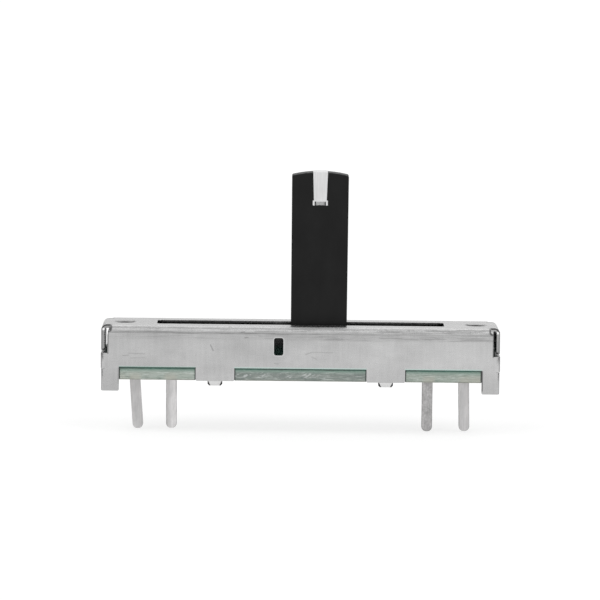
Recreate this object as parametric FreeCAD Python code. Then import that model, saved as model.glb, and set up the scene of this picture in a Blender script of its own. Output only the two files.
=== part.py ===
import FreeCAD, Part
import math
import os
from FreeCAD import Placement, Rotation, Vector

# Slide potentiometer with a 20 mm travel, in millimetres.
# X runs along the travel, -Y is the front wall, +Z is the way the lever points.
# The origin is the centre of the cover's top face, on the line between the two screw holes.

# Travel, and what the body's length is made of beyond it
travel = 20.0
rest_x = 1.6
track_margin = 1.0
inner_pin_gap = 0.3
pin_pitch = 3.2
pin_inset = 3.04

# Folded cover
body_depth = 7.0
sheet = 0.3
bend_inner = 0.2
wall_drop = 3.64
slot_corner = 0.3
slot_end_play = 0.2
slot_side_play = 0.45

# End flaps, bent down from the top, and the lower ears, bent round from the walls
flap_inset = 1.0
flap_drop = 2.3
flap_corner = 0.2
ear_gap = 0.12
ear_overhang = 0.12
ear_length = 2.2
ear_bend_inner = 0.05
notch_width = 0.61
relief_width = 0.89
relief_drop = 0.5
relief_corner = 0.2

# Legs, tongues and crimp tabs below the walls
leg_width = 1.56
rear_leg_width = 1.15
leg_inset = 0.05
leg_reach = 1.0
leg_corner = 0.12
leg_edge_round = 0.2
leg_slit = 0.04
tongue_spacing = 15.0
tongue_width = 3.4
tongue_overrun = 0.05
tongue_corner = 0.12
tab_width = 1.29
tab_straight = 0.1
tab_bend_inner = 0.1
tab_length = 1.05
tab_bevel = 0.14

# Sight hole in the front wall
sight_x = -1.93
sight_drop = 1.71
sight_width = 0.83
sight_height = 1.55
sight_corner = 0.2

# M2 screw holes with drawn collars
screw_inset = 2.04
screw_bore = 1.6
collar_wall = 0.45
collar_drop = 1.1
lead_in = 0.2

# Element board with its printed layers
board_thick = 1.04
board_side_gap = 0.05
board_end_gap = 0.1
board_inset = 0.05
resist_thick = 0.06
resist_border = 0.9
resist_pad_gap = 0.4
resist_corner = 0.6
print_thick = 0.04
track_gap = 1.3
track_side_gap = 0.25
pad_overlap = 0.2
pad_round = 1.2

# Terminals
pin_width = 0.94
pin_thick = 0.4
pin_lengths = (4.75, 4.7, 4.77, 4.71)
pin_play = 0.03
pin_leans = (4.0, 0.5, 0.0, 1.4)
pin_shifts = (-0.13, -0.09, -0.02, -0.02)
head_length = 1.15
head_width = 0.95
head_thick = 0.25
head_bevel = 0.08

# Lever blade
lever_width = 5.0
lever_root_width = 4.93
lever_thick = 2.0
lever_height = 13.48
lever_sag = 0.3
lever_corner = 0.16
lever_round = 0.12
tenon_width = 3.6
socket_floor = 0.35

# White index insert in the lever tip
index_width = 1.29
index_foot_width = 1.12
index_length = 2.58
index_depth = 0.4
index_proud = 0.04
index_lip = 0.34
index_lip_recess = 0.2
index_heel_width = 1.32
index_heel_height = 0.44
index_prong = 0.17
index_prong_gap = 0.1

# Carriage under the cover
carriage_end = 0.535
carriage_side_gap = 0.15
carriage_corner = 0.25
deck_drop = 0.9
boss_wall = 0.3
boss_height = 0.15
carriage_height = 1.4
glide_gap = 0.05
runner_length = 0.7
runner_width = 0.55
post_inset = 0.7
post_diameter = 0.6
post_head_diameter = 0.9
post_head_thick = 0.16

# Wiper with two groups of fingers
wiper_thick = 0.1
wiper_end = 0.25
wiper_rail = 0.15
wiper_window = 0.9
wiper_gap = 0.03
finger_count = 4
finger_gap = 0.08
finger_margin = 0.13
finger_end = 1.0
contact_radius = 0.25
finger_tail = 0.35
finger_tail_angle = 40.0

# Leaf springs that take up the play of the carriage
leaf_thick = 0.1
leaf_gap = 0.03
leaf_side_play = 0.12
leaf_end_play = 0.1
pocket_depth = 0.3
pocket_wall = 0.2
pocket_end = 0.75
pocket_play = 0.05

# Levels, lengths and places that follow from the sizes above
track_half_length = travel / 2 + track_margin
inner_pin_x = track_half_length + inner_pin_gap
outer_pin_x = inner_pin_x + pin_pitch
half_length = outer_pin_x + pin_inset
body_length = 2 * half_length
half_depth = body_depth / 2
inner_depth = half_depth - sheet
bend_outer = bend_inner + sheet
flap_width = body_depth - 2 * flap_inset
ear_top = -flap_drop - ear_gap
ear_bottom = -wall_drop - ear_overhang
board_top = -wall_drop - resist_thick
board_bottom = board_top - board_thick
print_top = board_top + print_thick
board_half_width = inner_depth - board_side_gap
board_half_length = half_length - sheet - board_end_gap
resist_open_half_width = half_depth - resist_border
slot_length = travel + lever_root_width + 2 * slot_end_play
slot_width = lever_thick + 2 * slot_side_play
screw_x = half_length - screw_inset
leg_outer_x = half_length - leg_inset
leg_inner_x = leg_outer_x - leg_width
rear_leg_inner_x = leg_outer_x - rear_leg_width
leg_bottom = board_bottom - leg_reach
tongue_x = tongue_spacing / 2
tongue_bottom = board_bottom - tongue_overrun
track_width = resist_open_half_width - track_side_gap - track_gap / 2
track_offset = (track_gap + track_width) / 2
carriage_half_width = inner_depth - carriage_side_gap
carriage_half_length = lever_root_width / 2 + carriage_end
carriage_bottom = -deck_drop - carriage_height
runner_inner_y = carriage_half_width - runner_width
boss_half_length = lever_root_width / 2 + carriage_corner
boss_half_width = lever_thick / 2 + boss_wall
boss_top = boss_height - deck_drop
socket_bottom = carriage_bottom + socket_floor
post_x = carriage_half_length - post_inset
wiper_bottom = carriage_bottom - wiper_thick


def box(x_from, x_to, y_from, y_to, z_from, z_to):
    """A box between two planes along each axis."""
    corner = Vector(x_from, y_from, z_from)
    return Part.makeBox(x_to - x_from, y_to - y_from, z_to - z_from, corner)


def centred_box(length, width, z_from, z_to):
    """A box centred on the Z axis."""
    return box(-length / 2, length / 2, -width / 2, width / 2, z_from, z_to)


def moved(shape, x=0.0, y=0.0, z=0.0):
    """A copy of a shape, moved."""
    copy = shape.copy()
    copy.translate(Vector(x, y, z))
    return copy


def fused(shapes):
    """One solid from shapes that meet, with its split faces joined."""
    first = shapes[0]
    return first.fuse(shapes[1:]).removeSplitter()


def front_and_back(shape):
    """The shape and its mirror image across the XZ plane."""
    return [shape, shape.mirror(Vector(0, 0, 0), Vector(0, 1, 0))]


def left_and_right(shape):
    """The shape and its mirror image across the YZ plane."""
    return [shape, shape.mirror(Vector(0, 0, 0), Vector(1, 0, 0))]


def four_corners(shape):
    """The shape repeated in all four quarters."""
    return [copy for half in front_and_back(shape) for copy in left_and_right(half)]


def edges_where(shape, axis, test):
    """Straight edges along an axis whose middle point passes a test."""
    found = []
    for edge in shape.Edges:
        if not isinstance(edge.Curve, Part.Line):
            continue
        middle = edge.valueAt((edge.FirstParameter + edge.LastParameter) / 2)
        along = edge.tangentAt(edge.FirstParameter)
        if abs(along.dot(axis)) > 0.999 and test(middle):
            found.append(edge)
    return found


def rounded(shape, radius, axis, test=lambda middle: True):
    """The shape with its edges along an axis rounded where they pass a test."""
    return shape.makeFillet(radius, edges_where(shape, axis, test))


def prism(points, direction):
    """A flat outline of straight edges, pushed along a vector."""
    outline = Part.makePolygon(points + [points[0]])
    return Part.Face(outline).extrude(direction)


def near(first, second):
    """Whether two lengths agree to a thousandth."""
    return abs(first - second) < 0.001


X_AXIS = Vector(1, 0, 0)
Y_AXIS = Vector(0, 1, 0)
Z_AXIS = Vector(0, 0, 1)


def folded_channel():
    """The top and the two long walls as one bent sheet, full length and full depth."""
    outer = centred_box(body_length, body_depth, -wall_drop, 0)
    outer = rounded(outer, bend_outer, X_AXIS, lambda middle: near(middle.z, 0))
    hollow = centred_box(2 * body_length, 2 * inner_depth, -2 * wall_drop, -sheet)
    hollow = rounded(hollow, bend_inner, X_AXIS, lambda middle: near(middle.z, -sheet))
    return outer.cut(hollow)


def end_clearance():
    """What is taken off the channel at its right front corner, before the end is folded."""
    outside = half_length + body_length
    relief_x = half_length - relief_width
    notch_x = half_length - notch_width
    corner = box(relief_x, outside, -body_depth, -flap_width / 2, -sheet, body_depth)
    corner = rounded(corner, relief_corner, Z_AXIS, lambda middle: near(middle.x, relief_x))
    low_corner = box(relief_x, outside, -body_depth, -inner_depth + bend_inner, -relief_drop, body_depth)
    low_corner = rounded(low_corner, relief_width - notch_width, Y_AXIS,
                         lambda middle: near(middle.z, -relief_drop))
    notch = box(notch_x, outside, -body_depth, -flap_width / 2, ear_top, -sheet)
    side = box(half_length - bend_outer, outside, -body_depth, 0, -2 * wall_drop, body_depth)
    return [corner, low_corner, notch, side]


def end_flap():
    """The right end flap: the top goes on past the corner relief and bends down."""
    start = half_length - relief_width
    outer = box(start, half_length, -flap_width / 2, flap_width / 2, -flap_drop, 0)
    outer = rounded(outer, bend_outer, Y_AXIS, lambda m: near(m.x, half_length) and near(m.z, 0))
    inner_x = half_length - sheet
    hollow = box(start - sheet, inner_x, -flap_width, flap_width, -2 * flap_drop, -sheet)
    hollow = rounded(hollow, bend_inner, Y_AXIS, lambda m: near(m.x, inner_x) and near(m.z, -sheet))
    return rounded(outer.cut(hollow), flap_corner, X_AXIS, lambda m: near(m.z, -flap_drop))


def corner_ear():
    """The right front ear: the wall bent round the corner onto the end, below the flap."""
    ear_outer = ear_bend_inner + sheet
    start = half_length - relief_width
    outer = box(start, half_length, -half_depth, -half_depth + ear_length, ear_bottom, ear_top)
    outer = rounded(outer, ear_outer, Z_AXIS,
                    lambda m: near(m.x, half_length) and near(m.y, -half_depth))
    inner_x = half_length - sheet
    hollow = box(start - sheet, inner_x, -inner_depth, half_depth, 2 * ear_bottom, 0)
    hollow = rounded(hollow, ear_bend_inner, Z_AXIS,
                     lambda m: near(m.x, inner_x) and near(m.y, -inner_depth))
    return outer.cut(hollow)


def leg(inner_x):
    """A right-hand leg of the front wall, slit from the ear only where the ear turns round the corner."""
    shoulder = ear_bottom - leg_slit
    strip = box(inner_x, leg_outer_x, -half_depth, -inner_depth, leg_bottom, shoulder)
    from_front = rounded(strip, leg_corner, Y_AXIS, lambda middle: near(middle.z, leg_bottom))
    from_above = rounded(strip, leg_edge_round, Z_AXIS,
                         lambda m: near(m.x, leg_outer_x) and near(m.y, -half_depth))
    lower = from_front.common(from_above)
    neck_x = half_length - ear_bend_inner - sheet
    neck = box(inner_x, neck_x, -half_depth, -inner_depth, shoulder, -wall_drop)
    return lower.fuse(neck)


def tongue():
    """The right front tongue, which runs down past the board's edge."""
    blade = box(-tongue_width / 2, tongue_width / 2, -half_depth, -inner_depth, tongue_bottom, -wall_drop)
    blade = rounded(blade, tongue_corner, Y_AXIS, lambda middle: near(middle.z, tongue_bottom))
    return moved(blade, x=tongue_x)


def crimp_tab():
    """The right front tab, bent under the board until its tip bears on it."""
    bend = tab_bend_inner + sheet
    reach = math.hypot(tab_length, tab_bend_inner)
    tilt = math.atan2(tab_bend_inner, tab_length) + math.asin(tab_straight / reach)
    centre = Vector(0, -half_depth + bend, board_bottom - tab_straight)
    along = Vector(0, math.cos(tilt), math.sin(tilt))
    outward = Vector(0, math.sin(tilt), -math.cos(tilt))
    half_turn = (math.pi / 2 + tilt) / 2
    middle = Vector(0, -math.cos(half_turn), -math.sin(half_turn))
    start = Vector(0, 0, sheet)
    outer_from = centre + Y_AXIS * -bend
    inner_from = centre + Y_AXIS * -tab_bend_inner
    outer_to = centre + outward * bend
    inner_to = centre + outward * tab_bend_inner
    outer_tip = outer_to + along * tab_length
    inner_tip = inner_to + along * tab_length
    edges = [
        Part.LineSegment(outer_from + start, outer_from).toShape(),
        Part.Arc(outer_from, centre + middle * bend, outer_to).toShape(),
        Part.LineSegment(outer_to, outer_tip).toShape(),
        Part.LineSegment(outer_tip, inner_tip).toShape(),
        Part.LineSegment(inner_tip, inner_to).toShape(),
        Part.Arc(inner_to, centre + middle * tab_bend_inner, inner_from).toShape(),
        Part.LineSegment(inner_from, inner_from + start).toShape(),
        Part.LineSegment(inner_from + start, outer_from + start).toShape(),
    ]
    section = Part.Face(Part.Wire(edges))
    strip = section.extrude(X_AXIS * tab_width)
    bevelled = []
    for edge in strip.Edges:
        ends = [vertex.Point for vertex in edge.Vertexes]
        on_side = len(ends) == 2 and near(ends[0].x, ends[1].x)
        below = on_side and max(end.z for end in ends) < board_bottom - tab_straight / 2
        far_out = on_side and isinstance(edge.Curve, Part.Circle) and edge.Curve.Radius > bend - sheet / 2
        if below and far_out:
            bevelled.append(edge)
    strip = strip.makeChamfer(tab_bevel, bevelled) if bevelled else strip
    return moved(strip, x=tongue_x - tab_width / 2)


def screw_collar():
    """The drawn collar under one screw hole, before it is bored."""
    radius = screw_bore / 2 + collar_wall
    collar = Part.makeCylinder(radius, collar_drop - sheet / 2, Vector(0, 0, -collar_drop), Z_AXIS)
    return moved(collar, x=screw_x)


def screw_hole():
    """The bore of one screw hole with its rounded lead-in as a cone."""
    radius = screw_bore / 2
    bore = Part.makeCylinder(radius, 2 * collar_drop, Vector(0, 0, -3 * collar_drop / 2), Z_AXIS)
    cone = Part.makeCone(radius, radius + 2 * lead_in, 2 * lead_in, Vector(0, 0, -lead_in), Z_AXIS)
    return moved(bore.fuse(cone), x=screw_x)


def lever_slot():
    """The long slot that the lever travels in."""
    slot = centred_box(slot_length, slot_width, -2 * sheet, sheet)
    return rounded(slot, slot_corner, Z_AXIS)


def sight_hole():
    """The small rounded window in the front wall."""
    hole = box(-sight_width / 2, sight_width / 2, -half_depth - sheet, -inner_depth + sheet / 2,
               -sight_height / 2, sight_height / 2)
    hole = rounded(hole, sight_corner, Y_AXIS)
    return moved(hole, x=sight_x, z=-sight_drop)


def make_cover():
    """The cover: one folded, tin-plated steel sheet."""
    channel = folded_channel()
    clearances = [quarter for cut in end_clearance() for quarter in four_corners(cut)]
    channel = channel.cut(clearances)
    additions = left_and_right(end_flap())
    for piece in (corner_ear(), tongue(), crimp_tab()):
        additions += four_corners(piece)
    rear_leg = leg(rear_leg_inner_x).mirror(Vector(0, 0, 0), Y_AXIS)
    additions += left_and_right(leg(leg_inner_x)) + left_and_right(rear_leg)
    additions += left_and_right(screw_collar())
    cover = channel.fuse(additions)
    openings = left_and_right(screw_hole()) + [lever_slot(), sight_hole()]
    return cover.cut(openings).removeSplitter()


def board_outline(z_from, z_to):
    """The board's outline: a long blank with ears that fill the cover's windows."""
    blank = centred_box(2 * board_half_length, 2 * board_half_width, z_from, z_to)
    ear_y = half_depth - board_inset
    tongue_in = tongue_x - tongue_width / 2 - board_side_gap
    tongue_out = tongue_x + tongue_width / 2 + board_side_gap
    middle = box(-tongue_in, tongue_in, -ear_y, ear_y, z_from, z_to)
    front_end = box(tongue_out, leg_inner_x - board_side_gap, -ear_y, 0, z_from, z_to)
    rear_end = box(tongue_out, rear_leg_inner_x - board_side_gap, 0, ear_y, z_from, z_to)
    return fused([blank, middle] + left_and_right(front_end) + left_and_right(rear_end))


def pin_places():
    """The terminals' places along X, from left to right, each with its small error of place."""
    nominal = (-outer_pin_x, -inner_pin_x, inner_pin_x, outer_pin_x)
    return [place + shift for place, shift in zip(nominal, pin_shifts)]


def make_board():
    """The laminate element board with its four pin slots."""
    board = board_outline(board_bottom, board_top)
    slot = centred_box(pin_width + 2 * pin_play, pin_thick + 2 * pin_play,
                       board_bottom - board_thick, board_top + board_thick)
    return board.cut([moved(slot, x=place) for place in pin_places()])


def make_resist():
    """The green resist print: a border round the open middle of the board."""
    layer = board_outline(board_top, board_top + resist_thick)
    open_length = 2 * (outer_pin_x + pad_round / 2 + resist_pad_gap)
    open_width = 2 * resist_open_half_width
    window = centred_box(open_length, open_width, board_top - resist_thick, board_top + 2 * resist_thick)
    window = rounded(window, resist_corner, Z_AXIS)
    return layer.cut(window)


def printed_strip(x_from, x_to, y_from, y_to):
    """A printed rectangle on the board's top."""
    return box(x_from, x_to, y_from, y_to, board_top, print_top)


def make_track(side):
    """One straight track: the resistive one in front (-1) or the collector behind (+1)."""
    centre = side * track_offset
    return printed_strip(-track_half_length, track_half_length,
                         centre - track_width / 2, centre + track_width / 2)


def make_pad(pin_x, side):
    """One silver pad, from a track's end to a disc round its terminal."""
    way = math.copysign(1.0, pin_x)
    far_x = abs(pin_x) + pad_round / 2
    inner_edge = track_offset - track_width / 2
    strip = printed_strip(track_half_length, far_x, inner_edge, inner_edge + track_width)
    disc = Part.makeCylinder(pad_round / 2, print_thick, Vector(abs(pin_x), 0, board_top), Z_AXIS)
    link_from = max(abs(pin_x) - pad_round / 2, track_half_length)
    link = printed_strip(link_from, far_x, 0, inner_edge + pad_overlap)
    hole = box(abs(pin_x) - pin_width / 2 - pin_play, abs(pin_x) + pin_width / 2 + pin_play,
               -pin_thick / 2 - pin_play, pin_thick / 2 + pin_play, board_bottom, 0)
    pad = fused([strip, disc, link]).cut(hole)
    if side < 0:
        pad = pad.mirror(Vector(0, 0, 0), Y_AXIS)
    if way < 0:
        pad = pad.mirror(Vector(0, 0, 0), X_AXIS)
    return pad


def make_terminal(pin_x, length, lean):
    """One stamped terminal: a bevelled head on its pad, a neck and a blade with a rounded tip."""
    head = centred_box(head_length, head_width, print_top, print_top + head_thick)
    upper = [edge for edge in head.Edges if near(edge.CenterOfMass.z, print_top + head_thick)]
    head = head.makeChamfer(head_bevel, upper)
    neck = centred_box(pin_width, pin_thick, board_bottom - pin_play, print_top + head_thick / 2)
    blade = centred_box(pin_width, pin_thick, -length, 0)
    tip_round = pin_width / 2 - pin_play
    blade = rounded(blade, tip_round, Y_AXIS, lambda middle: near(middle.z, -length))
    blade.Placement = Placement(Vector(0, 0, board_bottom), Rotation(Y_AXIS, -lean))
    return moved(fused([head, neck, blade]), x=pin_x)


def lever_tip(width, sag, top, thick):
    """The lever's outline from its root to its arched tip, as a solid of even thickness."""
    root = boss_top
    shoulder = top - sag
    left_root = Vector(-lever_root_width / 2, -thick / 2, root)
    right_root = Vector(lever_root_width / 2, -thick / 2, root)
    left = Vector(-width / 2, -thick / 2, shoulder)
    right = Vector(width / 2, -thick / 2, shoulder)
    crown = Vector(0, -thick / 2, top)
    edges = [
        Part.LineSegment(left_root, right_root).toShape(),
        Part.LineSegment(right_root, right).toShape(),
        Part.Arc(right, crown, left).toShape(),
        Part.LineSegment(left, left_root).toShape(),
    ]
    return Part.Face(Part.Wire(edges)).extrude(Y_AXIS * thick)


def index_wedge(extra_length, y_from, y_to):
    """A tapered bar down the lever's face, from above its tip to past the index's foot."""
    top = lever_height + sheet
    bottom = lever_height - index_length - extra_length
    slope = (index_width - index_foot_width) / 2 / index_length
    half_top = index_width / 2 + slope * sheet
    half_bottom = index_foot_width / 2 - slope * extra_length
    points = [
        Vector(-half_bottom, y_from, bottom),
        Vector(half_bottom, y_from, bottom),
        Vector(half_top, y_from, top),
        Vector(-half_top, y_from, top),
    ]
    return prism(points, Y_AXIS * (y_to - y_from))


def index_leg(outside):
    """The index down one face: the tapered bar with the wider heel at its foot."""
    floor = lever_thick / 2 - index_depth
    half_heel = index_heel_width / 2
    bottom = lever_height - index_length - index_lip
    heel = box(-half_heel, half_heel, -outside, -floor, bottom, bottom + index_heel_height)
    return fused([index_wedge(index_lip, -outside, -floor), heel])


def index_recess():
    """The channel in the lever that the index fills: both faces and over the tip."""
    outside = lever_thick
    face_cut = index_leg(outside)
    over_tip = index_wedge(index_depth - index_length, -outside, outside)
    return front_and_back(face_cut) + [over_tip]


def make_lever():
    """The flat lever blade with its arched tip, rounded edges and tenon."""
    blade = lever_tip(lever_width, lever_sag, lever_height, lever_thick)
    blade = rounded(blade, lever_corner, Y_AXIS, lambda middle: middle.z > lever_height / 2)
    half_thick = lever_thick / 2
    outline = [edge for edge in blade.Edges
               if near(abs(edge.CenterOfMass.y), half_thick) and edge.CenterOfMass.z > boss_top / 2]
    blade = blade.makeFillet(lever_round, outline)
    blade = blade.cut(index_recess())
    tenon = centred_box(tenon_width, lever_thick - 2 * lever_round, socket_bottom, boss_top / 2)
    return fused([blade, tenon])


def make_index():
    """The white index: two legs in the lever's faces, joined over its tip."""
    thick = lever_thick + 2 * index_proud
    body = lever_tip(lever_width, lever_sag, lever_height + index_proud, thick)
    upper = [edge for edge in body.Edges if edge.CenterOfMass.z > lever_height / 2]
    body = body.makeFillet(index_proud, [edge for edge in upper
                                         if not near(abs(edge.tangentAt(edge.FirstParameter).y), 1.0)])
    outside = 2 * lever_thick
    floor = lever_thick / 2 - index_depth
    step_face = lever_thick / 2 - index_lip_recess
    foot = lever_height - index_length
    half_pocket = index_heel_width / 2 - index_prong
    legs = front_and_back(index_leg(outside))
    bridge = index_wedge(index_depth - index_length, -outside, outside)
    pocket = box(-half_pocket, half_pocket, -outside, -step_face, 0, foot)
    prong_gap = box(half_pocket - index_prong_gap, half_pocket, -outside, -floor, 0, foot)
    cuts = front_and_back(pocket) + four_corners(prong_gap)
    return fused(legs + [bridge]).common(body).cut(cuts).removeSplitter()


def carriage_runners():
    """Four corner pads under the cover and four feet above the board."""
    outer_x = carriage_half_length
    outer_y = carriage_half_width
    pad = box(outer_x - runner_length, outer_x, runner_inner_y, outer_y, -deck_drop, -sheet - glide_gap)
    foot = box(outer_x - runner_length, outer_x, runner_inner_y, outer_y,
               -wall_drop + glide_gap, carriage_bottom)
    return four_corners(pad) + four_corners(foot)


def side_pocket():
    """The pocket in the carriage's back that the side spring lies in."""
    half = carriage_half_length - pocket_end
    return box(-half, half, carriage_half_width - pocket_depth, body_depth,
               carriage_bottom + pocket_wall, -deck_drop - pocket_wall)


def make_carriage():
    """The moulded carriage that holds the lever, the wiper and the springs."""
    block = centred_box(2 * carriage_half_length, 2 * carriage_half_width, carriage_bottom, -deck_drop)
    body = fused([block] + carriage_runners())
    body = rounded(body, carriage_corner, Z_AXIS, lambda m: near(abs(m.x), carriage_half_length)
                   and near(abs(m.y), carriage_half_width))
    boss = centred_box(2 * boss_half_length, 2 * boss_half_width, -deck_drop - sheet, boss_top)
    boss = rounded(boss, carriage_corner, Z_AXIS)
    socket = centred_box(tenon_width, lever_thick - 2 * lever_round, socket_bottom, 0)
    body = fused([body, boss] + left_and_right(staking_post()))
    return body.cut([socket, side_pocket()])


def staking_post():
    """The right-hand post through the wiper, with the flattened head that holds it."""
    place = Vector(post_x, 0, wiper_bottom)
    post = Part.makeCylinder(post_diameter / 2, wiper_thick + sheet, place, Z_AXIS)
    head_place = place - Z_AXIS * post_head_thick
    head = Part.makeCylinder(post_head_diameter / 2, post_head_thick, head_place, Z_AXIS)
    low_edge = [edge for edge in head.Edges if near(edge.CenterOfMass.z, head_place.z)]
    head = head.makeChamfer(post_head_thick / 2, low_edge)
    return post.fuse(head)


def finger_root_x():
    """Where the fingers leave the wiper's plate, measured from the contact."""
    return carriage_half_length - finger_end


def finger_width():
    """The width of one finger: its share of the track, less the margins and the gaps."""
    comb = track_width - 2 * finger_margin
    return (comb - (finger_count - 1) * finger_gap) / finger_count


def wiper_finger():
    """One finger: a slope down from the plate, a round contact and a raised tail."""
    root_x = finger_root_x()
    pivot = Vector(0, 0, print_top + wiper_gap + contact_radius)
    fall = wiper_bottom + wiper_thick / 2 - pivot.z
    reach = math.hypot(root_x, fall)
    slope = math.atan2(fall, root_x) + math.asin((contact_radius - wiper_thick / 2) / reach)
    down = Vector(math.cos(slope), 0, math.sin(slope))
    normal = Vector(math.sin(slope), 0, -math.cos(slope))
    tail = math.radians(finger_tail_angle)
    tail_normal = Vector(-math.sin(tail), 0, -math.cos(tail))
    tail_way = Vector(-math.cos(tail), 0, math.sin(tail))
    inner = contact_radius - wiper_thick
    run = root_x / math.cos(slope)
    root_outer = pivot + normal * contact_radius + down * run
    root_inner = pivot + normal * inner + down * run
    low = Vector(0, 0, -1)
    tail_outer = pivot + tail_normal * contact_radius
    tail_inner = pivot + tail_normal * inner
    edges = [
        Part.LineSegment(root_outer, pivot + normal * contact_radius).toShape(),
        Part.Arc(pivot + normal * contact_radius, pivot + low * contact_radius, tail_outer).toShape(),
        Part.LineSegment(tail_outer, tail_outer + tail_way * finger_tail).toShape(),
        Part.LineSegment(tail_outer + tail_way * finger_tail, tail_inner + tail_way * finger_tail).toShape(),
        Part.LineSegment(tail_inner + tail_way * finger_tail, tail_inner).toShape(),
        Part.Arc(tail_inner, pivot + low * inner, pivot + normal * inner).toShape(),
        Part.LineSegment(pivot + normal * inner, root_inner).toShape(),
        Part.LineSegment(root_inner, root_outer).toShape(),
    ]
    strip = Part.Face(Part.Wire(edges)).extrude(Y_AXIS * finger_width())
    plate_zone = box(-body_length, root_x + wiper_thick, -body_depth, body_depth,
                     -body_depth, carriage_bottom)
    return strip.common(plate_zone)


def make_wiper():
    """The stamped wiper: a plate with two windows and a comb of fingers in each."""
    half_comb = track_width / 2 - finger_margin
    inner_y = track_offset - half_comb
    outer_y = track_offset + half_comb
    plate_length = 2 * (carriage_half_length - wiper_end)
    plate_width = 2 * (outer_y + finger_gap + wiper_rail)
    plate = centred_box(plate_length, plate_width, wiper_bottom, carriage_bottom)
    window = box(-wiper_window, finger_root_x(), inner_y - finger_gap, outer_y + finger_gap,
                 2 * wiper_bottom, 0)
    hole_place = Vector(post_x, 0, wiper_bottom - wiper_thick / 2)
    hole = Part.makeCylinder(post_diameter / 2, 2 * wiper_thick, hole_place)
    plate = plate.cut(front_and_back(window) + left_and_right(hole))
    pitch = finger_width() + finger_gap
    fingers = [moved(wiper_finger(), y=inner_y + index * pitch) for index in range(finger_count)]
    combs = [copy for finger in fingers for copy in front_and_back(finger)]
    return fused([plate] + combs)


def bowed_strip(length, rise, width):
    """A leaf spring: an arched strip of even thickness, with its ends on Z = 0 and width along Y."""
    half = length / 2
    left = Vector(-half, 0, 0)
    right = Vector(half, 0, 0)
    up = Z_AXIS * leaf_thick
    crown = Z_AXIS * rise
    edges = [
        Part.Arc(left, crown, right).toShape(),
        Part.LineSegment(right, right + up).toShape(),
        Part.Arc(right + up, crown + up, left + up).toShape(),
        Part.LineSegment(left + up, left).toShape(),
    ]
    strip = Part.Face(Part.Wire(edges)).extrude(Y_AXIS * width)
    return moved(strip, y=-width / 2)


def make_top_leaf(side):
    """A leaf spring on the deck that bears on the cover, in front (-1) or behind (+1)."""
    length = 2 * (carriage_half_length - runner_length - leaf_end_play)
    inner_y = boss_half_width + leaf_side_play
    outer_y = runner_inner_y - leaf_side_play
    rise = deck_drop - sheet - leaf_gap - leaf_thick
    strip = bowed_strip(length, rise, outer_y - inner_y)
    return moved(strip, y=side * (inner_y + outer_y) / 2, z=-deck_drop)


def make_side_leaf():
    """The leaf spring in the carriage's back pocket that bears on the rear wall."""
    length = 2 * (carriage_half_length - pocket_end - pocket_play)
    height = carriage_height - 2 * (pocket_wall + pocket_play)
    rise = carriage_side_gap + pocket_depth - leaf_gap - leaf_thick
    strip = bowed_strip(length, rise, height)
    strip.rotate(Vector(0, 0, 0), X_AXIS, -90)
    return moved(strip, y=carriage_half_width - pocket_depth, z=-deck_drop - carriage_height / 2)


def save(name, shape, x=0.0):
    """Write one piece to its own file, moved along the travel."""
    solid = moved(shape, x=x)
    solid.exportStep("parts/" + name + ".step")


def main():
    """Make every piece; what rides on the carriage is written at its rest place."""
    os.makedirs("parts", exist_ok=True)
    save("cover", make_cover())
    save("element_board", make_board())
    save("resist_print", make_resist())
    save("resistive_track", make_track(-1))
    save("collector_track", make_track(1))
    pad_sides = (-1, 1, 1, -1)
    pins = zip(pin_places(), pad_sides, pin_lengths, pin_leans)
    for number, (place, side, length, lean) in enumerate(pins, start=1):
        save("silver_pad_" + str(number), make_pad(place, side))
        save("terminal_" + str(number), make_terminal(place, length, lean))
    save("lever", make_lever(), rest_x)
    save("index_insert", make_index(), rest_x)
    save("carriage", make_carriage(), rest_x)
    save("wiper", make_wiper(), rest_x)
    save("leaf_spring_front", make_top_leaf(-1), rest_x)
    save("leaf_spring_rear", make_top_leaf(1), rest_x)
    save("side_spring", make_side_leaf(), rest_x)


main()
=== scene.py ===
import math
import bmesh
import bpy
from mathutils import Matrix, Vector, noise


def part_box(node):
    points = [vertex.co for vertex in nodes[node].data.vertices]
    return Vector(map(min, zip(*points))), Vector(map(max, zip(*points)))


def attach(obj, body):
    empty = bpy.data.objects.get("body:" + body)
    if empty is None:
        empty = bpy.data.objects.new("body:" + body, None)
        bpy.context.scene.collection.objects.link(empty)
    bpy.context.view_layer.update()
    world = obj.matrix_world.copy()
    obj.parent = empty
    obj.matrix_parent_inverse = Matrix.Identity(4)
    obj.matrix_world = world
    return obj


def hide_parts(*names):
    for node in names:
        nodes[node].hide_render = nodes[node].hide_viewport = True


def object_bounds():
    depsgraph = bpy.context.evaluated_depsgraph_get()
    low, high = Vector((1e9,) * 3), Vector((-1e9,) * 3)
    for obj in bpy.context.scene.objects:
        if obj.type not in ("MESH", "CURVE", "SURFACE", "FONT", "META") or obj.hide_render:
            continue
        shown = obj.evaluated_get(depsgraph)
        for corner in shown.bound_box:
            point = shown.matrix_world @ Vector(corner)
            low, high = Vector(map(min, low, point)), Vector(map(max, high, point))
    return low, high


MM = 0.001
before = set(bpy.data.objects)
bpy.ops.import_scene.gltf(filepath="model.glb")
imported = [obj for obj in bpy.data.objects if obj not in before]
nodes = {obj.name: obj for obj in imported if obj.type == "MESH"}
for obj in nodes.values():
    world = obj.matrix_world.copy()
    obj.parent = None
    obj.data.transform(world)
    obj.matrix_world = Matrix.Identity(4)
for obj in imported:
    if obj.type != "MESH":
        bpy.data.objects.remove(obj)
cad_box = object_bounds()
scene = bpy.context.scene

# Places that the colours follow, in millimetres from the middle of the cover's top face.
# The cover's two ends are alike, and so are its two sides.
HALF_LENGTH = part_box("cover")[1].x / MM
HALF_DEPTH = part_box("cover")[1].y / MM
SHEET = 0.3
BEND = 0.5
BEND_Y = HALF_DEPTH - BEND
WALL_BOTTOM = -3.64

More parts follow.
